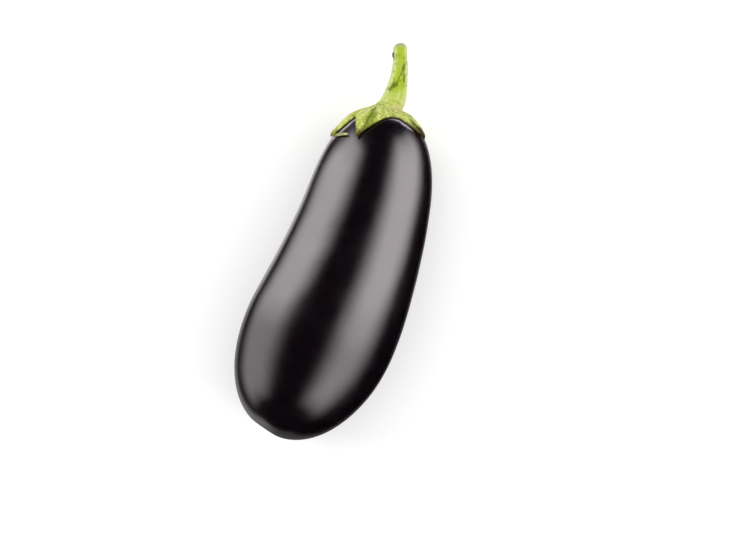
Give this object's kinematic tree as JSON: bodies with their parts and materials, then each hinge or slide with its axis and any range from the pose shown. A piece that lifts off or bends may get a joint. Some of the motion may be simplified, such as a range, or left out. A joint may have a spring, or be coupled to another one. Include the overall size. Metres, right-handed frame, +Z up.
{
  "type": "eggplant",
  "caption": "Whole glossy black-purple eggplant lying on its side, slightly bowed, with a green lobed calyx and a short ribbed stalk.",
  "frame": {"origin": "under the middle of the bounding box, on the surface that the eggplant lies on", "axes": "+X along the fruit towards the stalk, +Z up, -Y the outside of the bow"},
  "size_m": [0.2412, 0.0884, 0.0878],
  "materials": {
    "skin": "smooth, waxy and very glossy black-purple skin",
    "green": "matte, finely speckled yellow-green calyx and stalk"
  },
  "bodies": {
    "root": {"fruit": "skin", "calyx_and_stem": "green"}
  },
  "joints": []
}
